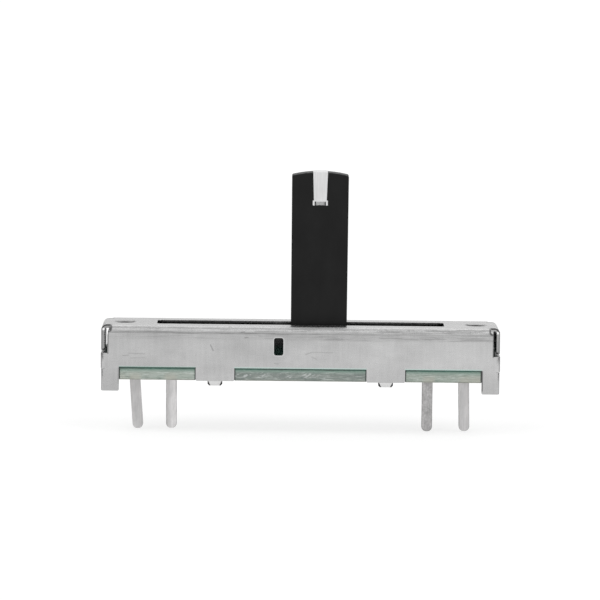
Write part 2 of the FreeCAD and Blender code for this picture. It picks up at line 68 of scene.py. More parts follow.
# The slot, the screw holes and the sight hole
SLOT_X = 12.7
SLOT_Y = 1.45
SCREW_X = 15.5
SCREW_MOUTH = 1.0
SIGHT_X = -1.93
SIGHT_Z = -1.71
SIGHT_HALF_WIDTH = 0.415
SIGHT_HALF_HEIGHT = 0.775
SIGHT_ROUND = 0.2

# The end flaps' inner faces and cut faces, the corner cuts and the ears below the flaps
FLAP_X = 17.24
FLAP_Y = 2.5
NOTCH_X = 16.93
RELIEF_X = 16.65
RELIEF_DROP = 0.5
EAR_TOP = -2.42

# The legs' inner rims, the tongues' two rims and the crimp tabs
LEG_X = 15.93
TONGUE_IN = 5.8
TONGUE_OUT = 9.2
TAB_X = 7.5
TAB_HALF = 0.645
TAB_TOP = -4.8

# The board and the middles of the four pins
BOARD_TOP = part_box("element_board")[1].z / MM
PINS = [sum(corner.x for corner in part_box("terminal_%d" % n)) / 2 / MM for n in (1, 2, 3, 4)]

# How bright each pin's tin is at its left and its right edge
PIN_SHADES = ((1.12, 1.12), (1.06, 1.46), (0.91, 0.91), (1.09, 1.09))

# The front wall's scratches: from (x, z) to (x, z), and how dark
SCRATCHES = [((-7.92, -1.58), (-7.66, -2.10), 1.0), ((-5.25, -0.46), (-4.92, -0.42), 1.0),
             ((-4.92, -0.93), (-4.62, -0.91), 1.0), ((-6.36, -0.05), (-6.06, -0.05), 1.0),
             ((0.45, -2.34), (0.97, -2.16), 0.5), ((0.97, -2.16), (2.81, -2.17), 0.35),
             ((0.97, -2.58), (1.41, -2.75), 0.4), ((-2.27, -3.17), (-1.92, -3.22), 0.5),
             ((-15.6, -2.61), (-15.1, -2.58), 0.5), ((-15.1, -2.40), (-13.7, -2.44), 0.5),
             ((-14.9, -2.82), (-13.7, -2.78), 0.35), ((-2.60, -0.50), (-2.25, -0.52), 0.5)]

# Radius in millimetres and segments of the rounded edges, by how the node's name starts
EDGE_ROUND = {"cover": (0.025, 2), "carriage": (0.03, 2), "wiper": (0.01, 2), "leaf_spring": (0.015, 2),
              "side_spring": (0.015, 2), "terminal": (0.12, 3)}

# The upright grey cards stand at both sides on these arcs, in degrees from the front
CARD_ARCS = ((52, 80), (100, 140))


class Look:
    """A procedural material, patterned in millimetres of the part's own frame."""

    def __init__(self, name):
        self.material = bpy.data.materials.new(name)
        self.material.use_nodes = True
        self.tree = self.material.node_tree
        self.tree.nodes.clear()
        self.shader = self.add("ShaderNodeBsdfPrincipled")
        output = self.add("ShaderNodeOutputMaterial")
        self.tree.links.new(self.shader.outputs[0], output.inputs["Surface"])
        place = self.add("ShaderNodeTexCoord").outputs["Object"]
        self.place = self.vector("MULTIPLY", place, (1 / MM, 1 / MM, 1 / MM))
        split = self.add("ShaderNodeSeparateXYZ", {0: self.place})
        self.x, self.y, self.z = split.outputs[0], split.outputs[1], split.outputs[2]

    def add(self, kind, inputs=None, **settings):
        node = self.tree.nodes.new(kind)
        for key, value in settings.items():
            setattr(node, key, value)
        for key, value in (inputs or {}).items():
            if isinstance(value, bpy.types.NodeSocket):
                self.tree.links.new(value, node.inputs[key])
            else:
                node.inputs[key].default_value = value
        return node

    def vector(self, operation, a, b):
        return self.add("ShaderNodeVectorMath", {0: a, 1: b}, operation=operation).outputs[0]

    def math(self, operation, a, b=0.0, c=0.0):
        return self.add("ShaderNodeMath", {0: a, 1: b, 2: c}, operation=operation).outputs[0]

    def product(self, first, *others):
        """All the factors multiplied: masks that must all hold, and their strength."""
        for other in others:
            first = self.math("MULTIPLY", first, other)
        return first

    def most(self, first, *others):
        """The largest of several masks."""
        for other in others:
            first = self.math("MAXIMUM", first, other)
        return first

    def noise(self, per_mm, detail=4.0, roughness=0.55, distortion=0.0, shift=(0, 0, 0)):
        """Noise with a number of grains per millimetre along each axis."""
        place = self.vector("MULTIPLY", self.place, per_mm)
        place = self.vector("ADD", place, shift)
        node = self.add("ShaderNodeTexNoise", {"Vector": place, "Scale": 1.0, "Detail": detail,
                                               "Roughness": roughness, "Distortion": distortion})
        return node.outputs[0]

    def ramp(self, value, low, high, to_low=0.0, to_high=1.0, smooth=False):
        """Goes from one number to another while the value goes from low to high, and stays there."""
        node = self.add("ShaderNodeMapRange", {
            "Value": value, "From Min": low, "From Max": high, "To Min": to_low, "To Max": to_high},
            interpolation_type="SMOOTHSTEP" if smooth else "LINEAR")
        node.clamp = True
        return node.outputs[0]

    def away(self, value, centre):
        """How far a value lies from a centre, on either side."""
        return self.math("ABSOLUTE", self.math("SUBTRACT", value, centre))

    def band(self, value, centre, half_width, soft):
        """1 on a band round a value, falling to 0 beside it."""
        return self.ramp(self.away(value, centre), half_width, half_width + soft, 1.0, 0.0, smooth=True)

    def within(self, value, low, high, soft):
        """1 between two values, falling to 0 beside them."""
        return self.product(self.ramp(value, low - soft, low), self.ramp(value, high + soft, high))

    def stroke(self, start, end, half_width, soft):
        """1 on a straight scratch between two places (x, z) on the front wall."""
        run, rise = end[0] - start[0], end[1] - start[1]
        length = math.hypot(run, rise)
        run, rise = run / length, rise / length
        along = self.math("MULTIPLY_ADD", self.z, rise, -start[0] * run - start[1] * rise)
        along = self.math("MULTIPLY_ADD", self.x, run, along)
        across = self.math("MULTIPLY_ADD", self.z, run, start[0] * rise - start[1] * run)
        across = self.math("MULTIPLY_ADD", self.x, -rise, across)
        return self.product(self.within(along, 0.0, length, soft), self.band(across, 0.0, half_width, soft))

    def radius(self, u, v):
        """The distance from the point where both values are 0."""
        return self.math("SQRT", self.math("ADD", self.math("MULTIPLY", u, u), self.math("MULTIPLY", v, v)))

    def outside(self, value_u, value_v, radius):
        """The distance to a quarter-round corner whose round begins where both values are the radius."""
        u = self.math("MAXIMUM", self.math("SUBTRACT", radius, value_u), 0.0)
        v = self.math("MAXIMUM", self.math("SUBTRACT", radius, value_v), 0.0)
        return self.math("SUBTRACT", self.radius(u, v), radius)

    def level(self, factor, a, b):
        """A number between a and b."""
        return self.add("ShaderNodeMix", {0: factor, 2: a, 3: b}, data_type="FLOAT").outputs[0]

    def blend(self, factor, a, b, mode="MIX"):
        """A colour between a and b."""
        node = self.add("ShaderNodeMix", {"Factor": factor}, data_type="RGBA", blend_type=mode)
        for key, value in ((6, a), (7, b)):
            if isinstance(value, bpy.types.NodeSocket):
                self.tree.links.new(value, node.inputs[key])
            else:
                node.inputs[key].default_value = (*value, 1.0)
        return node.outputs[2]

    def set(self, **values):
        """Shader sockets by name, with underscores for spaces."""
        for key, value in values.items():
            socket = self.shader.inputs[key.replace("_", " ")]
            if isinstance(value, bpy.types.NodeSocket):
                self.tree.links.new(value, socket)
            elif key == "Base_Color":
                socket.default_value = (*value, 1.0)
            else:
                socket.default_value = value

    def bump(self, height, depth_mm):
        """Fine relief of the finish, on top of the real shape."""
        node = self.add("ShaderNodeBump", {"Height": height, "Strength": 1.0, "Distance": depth_mm * MM})
        self.tree.links.new(node.outputs[0], self.shader.inputs["Normal"])


def grey(value):
    return (value, value, value)


def bend_marks_and_shade(look, side_x, side_y):
    """Darker streaks and lines along both long bends: partly marks of the bending tool, partly painted
    shade where the bends turn away from the light.
    """
    patchy = look.noise((0.5, 3.0, 6.0), 4.0, 0.65, shift=(3, 3, 3))
    sway = look.noise((0.25, 0.25, 0.25), 2.0, 0.6, shift=(8, 1, 1))
    main_z = look.math("MULTIPLY_ADD", sway, 0.10, look.ramp(look.x, -17.0, 0.0, -0.57, -0.615))
    main = look.product(look.band(look.z, main_z, 0.03, 0.12), look.ramp(patchy, 0.36, 0.56, 0.35, 1.0),
                        look.ramp(look.x, -4.0, 6.0, 0.85, 0.50))
    upper = look.product(look.band(look.z, -0.09, 0.02, 0.07), look.ramp(patchy, 0.46, 0.56),
                         look.ramp(side_x, 6.0, 9.0), 0.45)
    cloudy = look.ramp(look.noise((0.6, 1.0, 1.6), 3.0, 0.6, shift=(2, 5, 5)), 0.38, 0.56, 0.5, 1.0)
    wide = look.product(look.within(look.z, -1.04, -0.56, 0.2), look.ramp(look.x, -9.0, 3.0, 0.3, 1.0),
                        cloudy, 0.26)
    lines = look.noise((0.4, 1.0, 11.0), 3.0, 0.6, shift=(4, 9, 2))
    fine = look.product(look.ramp(lines, 0.49, 0.59), look.within(look.z, -1.05, -0.12, 0.15),
                        look.ramp(look.x, -8.0, 4.0, 0.26, 0.55))
    speckle = look.ramp(look.noise((2.6, 1.0, 6.0), 3.0, 0.65, shift=(9, 4, 7)), 0.52, 0.64)
    dots = look.product(speckle, look.within(look.z, -0.95, -0.12, 0.1), look.ramp(look.x, 1.0, 6.0), 0.38)
    worn_and_shaded = look.most(main, upper, wide, fine, dots)
    return look.product(worn_and_shaded, look.ramp(side_y, BEND_Y - 0.30, BEND_Y - 0.20))


def scratches(look):
    """Fine scratches and pits anywhere, and the few deep ones of the front wall."""
    fine = look.ramp(look.noise((0.7, 26.0, 26.0), 2.0, 0.5, 0.3, shift=(2, 8, 5)), 0.68, 0.74)
    sparse = look.ramp(look.noise((0.45, 0.9, 0.9), 2.0, 0.5, shift=(7, 7, 1)), 0.50, 0.64)
    pits = look.ramp(look.noise((5.0, 5.0, 5.0), 1.0, 0.5, shift=(1, 6, 4)), 0.74, 0.82)
    marks = look.most(look.product(fine, sparse), look.math("MULTIPLY", pits, 0.6))
    half_width, soft = 0.02, 0.06
    strokes = [look.math("MULTIPLY", look.stroke(start, end, half_width, soft), depth)
               for start, end, depth in SCRATCHES]
    on_front = look.ramp(look.y, -BEND_Y - 0.1, -BEND_Y - 0.2)
    return marks, look.product(look.most(*strokes), on_front)


def relief_rim_shade(look, side_x, side_y):
    """Painted shade at the torn rims of the corner cuts, on the wall, on the top and at the wall's end: how
    dark it is.
    """
    on_wall = look.ramp(side_y, BEND_Y - 0.04, BEND_Y + 0.04)
    from_relief = look.outside(look.math("SUBTRACT", side_x, RELIEF_X),
                               look.math("ADD", look.z, RELIEF_DROP), 0.28)
    relief = look.product(look.ramp(from_relief, 0.14, 0.07),
                          look.ramp(look.z, -RELIEF_DROP - 0.10, -RELIEF_DROP), on_wall, 0.75)
    right_lip = look.product(look.ramp(look.x, -1.0, 1.0), look.ramp(from_relief, -0.03, -0.07))
    relief = look.product(relief, look.math("SUBTRACT", 1.0, right_lip))
    on_top = look.product(look.within(side_y, FLAP_Y - 0.35, FLAP_Y - 0.02, 0.05),
                          look.within(side_x, RELIEF_X - 0.05, FLAP_X + 0.06, 0.08),
                          look.ramp(look.z, -0.02, -0.01), 0.6)
    wall_end = look.product(look.ramp(side_x, NOTCH_X - 0.10, NOTCH_X - 0.04),
                            look.ramp(side_x, NOTCH_X + 0.05, NOTCH_X + 0.02),
                            look.within(look.z, EAR_TOP - 0.04, -RELIEF_DROP, 0.05), on_wall, 0.6)
    return look.most(relief, on_top, wall_end)


def cut_face_shade_and_glint(look, side_x, side_y):
    """Painted shade lines and a painted glint on the cut face of the top and the flap, by the depth below
    the outer skin.
    """
    from_end = look.math("SUBTRACT", HALF_LENGTH, side_x)
    from_top = look.math("MULTIPLY", look.z, -1.0)
    below = look.math("MULTIPLY", look.outside(from_end, from_top, BEND), -1.0)
    on_face = look.within(side_y, FLAP_Y - 0.03, FLAP_Y + 0.03, 0.01)
    outer = look.product(look.ramp(below, 0.15, 0.10), look.ramp(look.z, -BEND, -0.36), 0.93)
    inner = look.product(look.ramp(below, 0.23, 0.26), look.ramp(look.z, -0.36, -0.31), 0.85)
    lines = look.most(outer, inner, look.ramp(below, 0.16, 0.10, 0.30, 0.55))
    dark = look.product(on_face, look.ramp(side_x, RELIEF_X - 0.15, RELIEF_X - 0.10), lines,
                        look.ramp(look.z, EAR_TOP + 0.02, EAR_TOP + 0.08))
    painted_glint = look.product(on_face, look.within(side_x, FLAP_X, FLAP_X + 0.17, 0.03),
                         look.within(look.z, -BEND, -0.34, 0.04))
    return dark, painted_glint


def lower_rim_shade(look, side_x, side_y):
    """How dark the painted shade is on the bends of the ears and on the inner rims of the legs."""
    ear_bend = look.product(look.ramp(side_x, HALF_LENGTH - 0.14, HALF_LENGTH - 0.06),
                            look.ramp(look.z, EAR_TOP + 0.02, EAR_TOP - 0.04),
                            look.ramp(side_y, BEND_Y - 0.1, BEND_Y), 0.6)
    on_leg = look.ramp(look.z, WALL_BOTTOM - 0.02, WALL_BOTTOM - 0.06)
    right_leg = look.product(look.within(look.x, LEG_X - 0.05, LEG_X + 0.09, 0.03), on_leg,
                             look.ramp(look.z, -5.60, -5.40), 0.7)
    left_leg = look.product(look.within(look.x, -LEG_X - 0.08, -LEG_X + 0.05, 0.04), on_leg,
                            look.ramp(look.z, -5.20, -4.90), 0.3)
    return look.most(ear_bend, right_leg, left_leg)


def slot_highlight_and_shade(look, tone, side_x, side_y):
    """The slot: a painted highlight on its front rim, and its cut wall painted darker downwards and at the
    slot's ends, partly for the rough sheared zone and partly as painted shade.
    """
    beside = look.ramp(side_x, SLOT_X + 0.20, SLOT_X + 0.15)
    rim = look.product(beside, look.within(look.y, -SLOT_Y - 0.17, -SLOT_Y - 0.01, 0.03),
                       look.ramp(look.z, -0.03, -0.01))
    tone = look.level(look.math("MULTIPLY", rim, 0.8), tone, 0.72)
    edge = look.product(look.ramp(side_y, SLOT_Y + 0.04, SLOT_Y + 0.02), beside,
                        look.ramp(look.z, -0.02, -0.05))
    # Painted shade in the slot, with the rough sheared zone below
    sheared_and_shaded = look.level(look.ramp(look.z, -0.20, -0.28), look.ramp(look.z, -0.05, -0.20, 0.38, 0.09), 0.03)
    sheared_and_shaded = look.level(look.ramp(side_x, SLOT_X - 0.6, SLOT_X - 0.4), sheared_and_shaded, 0.045)
    return look.level(edge, tone, sheared_and_shaded)


def shaded_inside(look, tone, side_x, side_y):
    """The cover's inner faces, painted darker as painted shade; also gives the mask of these faces."""
    inside = look.product(look.ramp(side_y, HALF_DEPTH - SHEET + 0.02, HALF_DEPTH - SHEET + 0.005),
                          look.ramp(look.z, -SHEET + 0.02, -SHEET + 0.005),
                          look.ramp(side_x, FLAP_X + 0.02, FLAP_X + 0.01))
    flap = look.product(look.ramp(side_x, FLAP_X - 0.03, FLAP_X - 0.01), look.ramp(side_y, 0.8, 1.4))
    inside_shade = look.level(flap, look.ramp(side_x, 15.9, 16.5, 0.08, 0.30), 0.45)
    return look.level(look.math("MULTIPLY", inside, 0.85), tone, inside_shade), inside


def screw_holes(look, tone, side_x):
    """Shadowed threads in the two bores."""
    from_axis = look.radius(look.math("SUBTRACT", side_x, SCREW_X), look.y)
    bore = look.product(look.ramp(from_axis, SCREW_MOUTH + 0.03, SCREW_MOUTH + 0.01),
                        look.ramp(look.z, -0.09, -0.13))
    return look.level(bore, tone, 0.03)


def crimp_tabs(look, tone, side_x):
    """The tabs are painted brighter, with painted shade at their lower corners."""
    from_tab = look.away(side_x, TAB_X)
    tab = look.product(look.ramp(from_tab, TAB_HALF + 0.105, TAB_HALF + 0.075),
                       look.ramp(look.z, TAB_TOP + 0.01, TAB_TOP - 0.02))
    tone = look.level(look.math("MULTIPLY", tab, 0.75), tone, 0.75)
    corner = look.math("SUBTRACT", from_tab, look.ramp(look.z, TAB_TOP, TAB_TOP - 0.40, 0.56, 0.36))
    return look.level(look.product(tab, look.ramp(corner, 0.0, 0.05)), tone, 0.02)


def sight_hole(look, tone):
    """The sight hole has a painted highlight round its rim and painted shade on its cut face."""
    from_side = look.math("SUBTRACT", SIGHT_HALF_WIDTH, look.away(look.x, SIGHT_X))
    from_end = look.math("SUBTRACT", SIGHT_HALF_HEIGHT, look.away(look.z, SIGHT_Z))
    from_rim = look.outside(from_side, from_end, SIGHT_ROUND)
    rim = look.product(look.ramp(from_rim, 0.10, 0.06), look.ramp(from_rim, -0.05, -0.03),
                       look.ramp(look.y, -HALF_DEPTH + 0.03, -HALF_DEPTH + 0.01))
    tone = look.level(look.math("MULTIPLY", rim, 0.5), tone, 0.72)
    face = look.product(look.within(from_rim, -0.03, 0.015, 0.01),
                        look.within(look.y, -HALF_DEPTH + 0.04, -HALF_DEPTH + SHEET + 0.05, 0.02))
    return look.level(face, tone, 0.02)


def rim_green_tint(look, colour, side_x, side_y):
    """A green tint on the wall's lower rim over the windows, darker over the left window."""
    at_window = look.most(look.ramp(side_x, TONGUE_IN + 0.05, TONGUE_IN),
                          look.within(side_x, TONGUE_OUT, LEG_X, 0.05))
    rim = look.product(look.ramp(look.z, WALL_BOTTOM + 0.13, WALL_BOTTOM + 0.06), at_window,
                       look.ramp(look.z, WALL_BOTTOM - 0.03, WALL_BOTTOM - 0.01),
                       look.ramp(side_y, HALF_DEPTH - 0.10, HALF_DEPTH - 0.05))
    dark = look.product(look.ramp(look.x, -9.0, -9.1),
                        look.ramp(look.z, WALL_BOTTOM + 0.06, WALL_BOTTOM + 0.04))
    resist = look.blend(dark, (0.52, 0.63, 0.60), (0.15, 0.22, 0.19))
    return look.blend(look.math("MULTIPLY", rim, 0.95), colour, resist)


def tinned_steel():
    look = Look("tinned_steel")
    side_x = look.math("ABSOLUTE", look.x)
    side_y = look.math("ABSOLUTE", look.y)
    blotch = look.noise((0.3, 0.5, 0.5), 3.0, 0.5)
    mottle = look.noise((3.0, 3.0, 3.0), 5.0, 0.65, shift=(5, 1, 2))
    grain = look.noise((1.2, 14.0, 14.0), 3.0, 0.6)
    upright = look.noise((5.0, 5.0, 0.5), 3.0, 0.6, shift=(6, 2, 8))
    tone = look.math("MULTIPLY_ADD", blotch, 0.5, look.math("MULTIPLY", mottle, 0.14))
    tone = look.math("MULTIPLY_ADD", grain, 0.16, look.math("MULTIPLY_ADD", upright, 0.2, tone))
    tone = look.ramp(tone, 0.36, 0.64, 0.45, 0.585)
    # Painted light: the cover grows a little brighter from left to right
    tone = look.math("MULTIPLY", tone, look.ramp(look.x, -14.0, 15.0, 0.95, 1.03))
    # Painted light: a lighter band round the middle of the long bends
    bend_painted_light = look.product(look.band(look.z, -0.34, 0.05, 0.14), look.ramp(side_y, BEND_Y - 0.1, BEND_Y))
    tone = look.math("MULTIPLY", tone, look.math("MULTIPLY_ADD", bend_painted_light, 0.22, 1.0))
    worn_and_shaded = bend_marks_and_shade(look, side_x, side_y)
    marks, deep = scratches(look)
    # Painted shade and tool marks along the long bends
    tone = look.level(worn_and_shaded, tone, 0.22)
    scratched = look.most(look.math("MULTIPLY", marks, 0.4), look.math("MULTIPLY", deep, 0.6))
    tone = look.level(scratched, tone, 0.25)
    # Painted shade at the corner cuts, the cut faces and the lower rims, and a painted glint on the flaps'
    # cut faces
    cut, painted_glint = cut_face_shade_and_glint(look, side_x, side_y)
    dark = look.most(relief_rim_shade(look, side_x, side_y), cut, lower_rim_shade(look, side_x, side_y))
    tone = look.level(painted_glint, look.level(dark, tone, 0.04), 1.0)
    tone = slot_highlight_and_shade(look, tone, side_x, side_y)
    tone, inside = shaded_inside(look, tone, side_x, side_y)
    tone = screw_holes(look, tone, side_x)
    tone = crimp_tabs(look, tone, side_x)
    tone = sight_hole(look, tone)
    colour = look.blend(tone, grey(0.0), grey(1.0))
    # Painted reflection of the green board, low on the inside of the rear wall
    at_rear = look.ramp(look.y, BEND_Y, BEND_Y + 0.1)
    board_reflection = look.product(inside, at_rear, look.ramp(look.z, -2.3, -2.9), 0.75)
    colour = look.blend(board_reflection, colour, (0.30, 0.55, 0.46))
    colour = rim_green_tint(look, colour, side_x, side_y)
    # Duller where the tool has first pressed on the long bends
    dull = look.product(look.within(look.z, -0.16, -0.004, 0.02),
                        look.within(side_y, BEND_Y - 0.02, HALF_DEPTH - 0.06, 0.06), 0.65)
    look.set(Base_Color=colour, Metallic=look.math("SUBTRACT", 1.0, dull))
    look.set(Roughness=look.ramp(mottle, 0.3, 0.7, 0.23, 0.32))
    height = look.math("MULTIPLY_ADD", grain, 0.5, mottle)
    height = look.math("SUBTRACT", height, look.math("ADD", marks, look.math("MULTIPLY", worn_and_shaded, 0.6)))
    height = look.math("SUBTRACT", height, look.math("MULTIPLY", deep, 2.0))
    look.bump(height, 0.004)
    return look.material


def laminate():
    look = Look("laminate")
    side_x = look.math("ABSOLUTE", look.x)
    depth = look.math("SUBTRACT", BOARD_TOP, look.z)
    fibre = look.noise((1.1, 1.1, 12.0), 5.0, 0.66, 0.5)
    patch = look.noise((0.7, 0.7, 2.5), 3.0, 0.5, shift=(4, 2, 9))
    greener = look.ramp(look.noise((0.35, 0.35, 0.35), 2.0, 0.5, shift=(1, 4, 4)), 0.42, 0.56)
    # Paler behind the left terminals, greyer in the middle
    body = look.blend(look.ramp(look.x, -8.0, 8.0), (0.43, 0.485, 0.435), (0.37, 0.425, 0.375))
    body = look.blend(look.ramp(side_x, 7.0, 6.5), body, (0.236, 0.267, 0.25))
    body = look.blend(look.ramp(patch, 0.40, 0.62, 0.0, 0.35), body, (0.42, 0.455, 0.415))
    streaks = look.blend(look.ramp(fibre, 0.53, 0.66, 0.0, 0.9), body, (0.62, 0.67, 0.64))
    streaks = look.blend(look.ramp(fibre, 0.46, 0.33, 0.0, 0.85), streaks, (0.17, 0.225, 0.20))
    # Beige lower corners, and round the punched terminal slots
    left_corner = look.math("MULTIPLY", look.ramp(look.x, -14.8, -15.6), 0.6)
    beige = look.most(look.ramp(look.x, 13.6, 15.4), left_corner,
                      *[look.band(look.x, place, 0.25, 0.5) for place in PINS])
    colour = look.blend(look.product(beige, look.ramp(depth, 0.30, 0.75), 0.7), streaks, (0.49, 0.49, 0.43))
    # Loose white fibres, torn upwards
    turned = look.add("ShaderNodeVectorRotate", {"Vector": look.place, "Angle": math.radians(28)},
                      rotation_type="Y_AXIS").outputs[0]
    loose = look.add("ShaderNodeTexNoise", {
        "Vector": look.vector("MULTIPLY", turned, (1.5, 1.5, 7.0)), "Scale": 1.0, "Detail": 3.0}).outputs[0]
    loose = look.product(look.ramp(loose, 0.57, 0.64), look.within(look.x, -5.4, 1.0, 0.8),
                         look.within(depth, 0.25, 0.70, 0.1), 0.8)
    colour = look.blend(loose, colour, (0.60, 0.63, 0.62))
    # Greener towards the top, with a dark line at the top, partly resist and partly painted shadow of the
    # wall's edge, and burnt dust at the punched lower edge
    colour = look.blend(look.ramp(depth, 0.42, 0.20, 0.0, 0.8), colour, (0.29, 0.385, 0.335))
    colour = look.blend(look.ramp(depth, 0.24, 0.12, 0.0, 0.8), colour, (0.20, 0.30, 0.25))
    ragged = look.math("MULTIPLY_ADD", look.noise((2.5, 2.5, 2.5), 3.0, 0.6), 0.10, 0.035)
    resist_and_shadow_line = look.blend(greener, (0.085, 0.12, 0.105), (0.06, 0.15, 0.115))
    colour = look.blend(look.ramp(look.math("SUBTRACT", depth, ragged), 0.03, -0.03), colour, resist_and_shadow_line)
    burnt = look.product(look.ramp(depth, 0.93, 0.99), look.ramp(patch, 0.35, 0.55, 0.3, 0.75))
    colour = look.blend(burnt, colour, (0.22, 0.225, 0.19))
    # Painted shade where the cover's tongues and legs stand against it
    edge = look.most(*[look.band(side_x, place, 0.07, 0.06) for place in (TONGUE_IN, TONGUE_OUT, LEG_X)])
    colour = look.blend(look.math("MULTIPLY", edge, 0.8), colour, (0.07, 0.09, 0.08))
    look.set(Base_Color=colour, Roughness=0.62, Specular_IOR_Level=0.35)
    look.bump(fibre, 0.02)
    return look.material


def green_resist():
    look = Look("green_resist")
    cloudy = look.noise((0.8, 0.8, 1.5), 4.0, 0.6)
    colour = look.blend(look.ramp(cloudy, 0.40, 0.60), (0.055, 0.105, 0.085), (0.075, 0.175, 0.135))
    look.set(Base_Color=colour, Roughness=0.32, Specular_IOR_Level=0.5)
    weave = look.noise((6.0, 6.0, 6.0), 3.0, 0.5)
    look.bump(weave, 0.006)
    return look.material


def printed(name, low, high, roughness, metallic):
    look = Look(name)
    speckle = look.noise((14.0, 14.0, 14.0), 4.0, 0.7)
    stroke = look.noise((0.6, 5.0, 5.0), 3.0, 0.6)
    tone = look.math("MULTIPLY_ADD", speckle, 0.5, look.math("MULTIPLY", stroke, 0.5))
    look.set(Base_Color=look.blend(look.ramp(tone, 0.35, 0.65), low, high), Metallic=metallic)
    look.set(Roughness=look.ramp(tone, 0.35, 0.65, roughness - 0.06, roughness + 0.06))
    look.bump(speckle, 0.004)
    return look.material


def tinned_brass():
    look = Look("tinned_brass")
    cloud = look.noise((1.6, 1.6, 0.8), 4.0, 0.6)
    mottle = look.noise((6.0, 6.0, 3.0), 4.0, 0.65, shift=(1, 2, 3))
    tone = look.math("MULTIPLY_ADD", cloud, 0.6, look.math("MULTIPLY", mottle, 0.4))
    streak = look.noise((7.0, 7.0, 0.7), 3.0, 0.6, shift=(2, 2, 5))
    colour = look.blend(look.ramp(tone, 0.36, 0.64), (0.47, 0.465, 0.465), (0.57, 0.56, 0.562))
    # Each pin is a little brighter or darker, the second brighter towards its right
    reach, soft = 1.0, 0.1
    shade = 0.0
    for place, (left, right) in zip(PINS, PIN_SHADES):
        here = look.within(look.x, place - reach, place + reach, soft)
        across = look.ramp(look.x, place - 0.45, place + 0.15, left, right)
        shade = look.math("ADD", look.math("MULTIPLY", here, across), shade)
    shade = look.math("MULTIPLY", shade, look.ramp(streak, 0.35, 0.65, 0.93, 1.07))
    # Stained tin on the third pin
    stain = look.ramp(look.noise((2.6, 2.6, 2.2), 4.0, 0.7, shift=(7, 3, 1)), 0.38, 0.62, 0.78, 1.16)
    third = look.within(look.x, PINS[2] - reach, PINS[2] + reach, soft)
    shade = look.math("MULTIPLY", shade, look.level(third, 1.0, stain))
    # Painted shade on the pins' sides, which turn away from the light, patchy along each pin
    normal = look.add("ShaderNodeTexCoord").outputs["Normal"]
    facing = look.math("ABSOLUTE", look.add("ShaderNodeSeparateXYZ", {0: normal}).outputs[0])
    dull = look.ramp(look.noise((0.8, 0.8, 1.1), 2.0, 0.6, shift=(3, 9, 6)), 0.40, 0.60, 0.38, 0.70)
    shade = look.math("MULTIPLY", shade, look.level(look.ramp(facing, 0.05, 0.45), 1.0, dull))
    shades = look.add("ShaderNodeCombineXYZ", {0: shade, 1: shade, 2: shade}).outputs[0]
    colour = look.blend(1.0, colour, shades, "MULTIPLY")
    look.set(Base_Color=colour, Metallic=1.0, Roughness=look.ramp(mottle, 0.3, 0.7, 0.34, 0.5))
    look.bump(tone, 0.02)
    return look.material


def black_plastic(name, colour_low, colour_high, roughness):
    look = Look(name)
    satin = look.noise((9.0, 9.0, 3.0), 4.0, 0.6)
    cloud = look.noise((0.7, 0.7, 0.35), 3.0, 0.5)
    look.set(Base_Color=look.blend(look.ramp(cloud, 0.35, 0.65), colour_low, colour_high))
    look.set(Roughness=look.ramp(satin, 0.3, 0.7, roughness - 0.05, roughness + 0.06),
             Specular_IOR_Level=0.18)
    look.bump(satin, 0.004)
    return look.material


def white_plastic():
    look = Look("white_plastic")
    streak = look.noise((9.0, 9.0, 0.5), 3.0, 0.6)
    cloud = look.noise((1.2, 1.2, 0.6), 3.0, 0.5)
    tone = look.math("MULTIPLY_ADD", streak, 0.6, look.math("MULTIPLY", cloud, 0.4))
    colour = look.blend(look.ramp(tone, 0.35, 0.65), grey(0.72), grey(0.84))
    look.set(Base_Color=colour, Roughness=0.45, Specular_IOR_Level=0.4)
    look.bump(streak, 0.006)
    return look.material


def spring_metal(name, low, high):
    look = Look(name)
    lines = look.noise((1.5, 20.0, 20.0), 3.0, 0.6)
    look.set(Base_Color=look.blend(look.ramp(lines, 0.35, 0.65), low, high), Metallic=1.0)
    look.set(Roughness=look.ramp(lines, 0.3, 0.7, 0.24, 0.36))
    look.bump(lines, 0.003)
    return look.material


looks = {
    "tinned_steel": tinned_steel(),
    "laminate": laminate(),
    "green_resist": green_resist(),
    "carbon_film": printed("carbon_film", grey(0.012), grey(0.024), 0.5, 0.0),
    "silver_carbon_film": printed("silver_carbon_film", grey(0.10), grey(0.17), 0.45, 0.6),
    "silver_ink": printed("silver_ink", (0.50, 0.49, 0.46), (0.66, 0.65, 0.62), 0.45, 0.8),
    "tinned_brass": tinned_brass(),
    "black_lever_plastic": black_plastic("black_lever_plastic", grey(0.006), grey(0.009), 0.46),
    "black_carriage_plastic": black_plastic("black_carriage_plastic", grey(0.008), grey(0.012), 0.5),
    "white_plastic": white_plastic(),
    "phosphor_bronze": spring_metal("phosphor_bronze", (0.50, 0.30, 0.15), (0.66, 0.42, 0.24)),
    "spring_steel": spring_metal("spring_steel", grey(0.36), grey(0.50)),
}


def soften(piece, radius_mm, segments):
    """Rounded edges on a solid: its flat faces are joined first, so that only real edges are cut."""
    weld = piece.modifiers.new("weld", "WELD")
    weld.merge_threshold = 1e-7
    flat = piece.modifiers.new("flat", "DECIMATE")
    flat.decimate_type = "DISSOLVE"
    flat.angle_limit = math.radians(2.0)
    bevel = piece.modifiers.new("bevel", "BEVEL")
    bevel.width = radius_mm * MM
    bevel.segments = segments
    bevel.limit_method = "ANGLE"
    bevel.angle_limit = math.radians(40)
    even = piece.modifiers.new("even", "WEIGHTED_NORMAL")
    even.weight = 80


def mesh_object(name, mesh):
    item = bpy.data.objects.new(name, mesh)
    scene.collection.objects.link(item)
    return item


